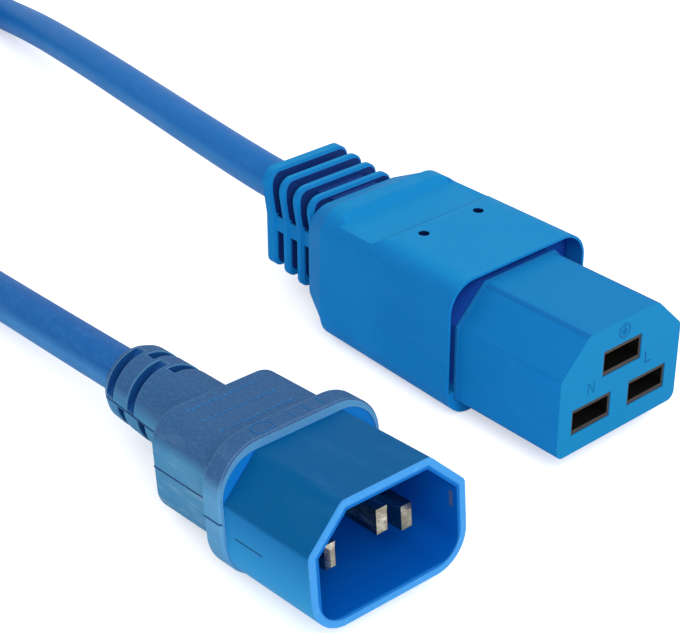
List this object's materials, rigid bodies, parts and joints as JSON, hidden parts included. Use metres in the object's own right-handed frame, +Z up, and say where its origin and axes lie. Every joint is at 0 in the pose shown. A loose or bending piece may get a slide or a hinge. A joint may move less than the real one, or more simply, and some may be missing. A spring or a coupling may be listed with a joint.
{
  "type": "power cord",
  "caption": "Blue mains jumper cord with a moulded female connector, a shrouded male plug and the spare length coiled and tied.",
  "frame": {"origin": "middle of the connector body's underside, on the floor that everything lies on", "axes": "+X the way the female connector is pushed on, +Z up, +Y to its left"},
  "size_m": [0.3232, 0.1088, 0.0254],
  "materials": {
    "connector_moulding": "fine matt texture",
    "plug_moulding": "fine matt texture",
    "plug_shroud": "smooth gloss",
    "carrier": "satin",
    "contact_metal": "bright strip",
    "pin_metal": "nickel plated",
    "copper": "bright stranded copper",
    "line_wire": "smooth",
    "neutral_wire": "smooth",
    "earth_wire": "smooth",
    "cord_jacket": "smooth satin",
    "tie": "satin"
  },
  "bodies": {
    "root": {"connector_body": "connector_moulding", "connector_carrier": "carrier", "plug_grip": "plug_moulding", "plug_shroud": "plug_shroud", "cord_lead_connector": "cord_jacket", "cord_lead_plug": "cord_jacket", "cord_coil": "cord_jacket", "coil_tie": "tie", "connector_contact_line": "contact_metal", "connector_conductor_line": "copper", "connector_wire_line": "line_wire", "plug_pin_line": "pin_metal", "plug_conductor_line": "copper", "plug_wire_line": "line_wire", "connector_contact_neutral": "contact_metal", "connector_conductor_neutral": "copper", "connector_wire_neutral": "neutral_wire", "plug_pin_neutral": "pin_metal", "plug_conductor_neutral": "copper", "plug_wire_neutral": "neutral_wire", "connector_contact_earth": "contact_metal", "connector_conductor_earth": "copper", "connector_wire_earth": "earth_wire", "plug_pin_earth": "pin_metal", "plug_conductor_earth": "copper", "plug_wire_earth": "earth_wire"}
  },
  "joints": []
}
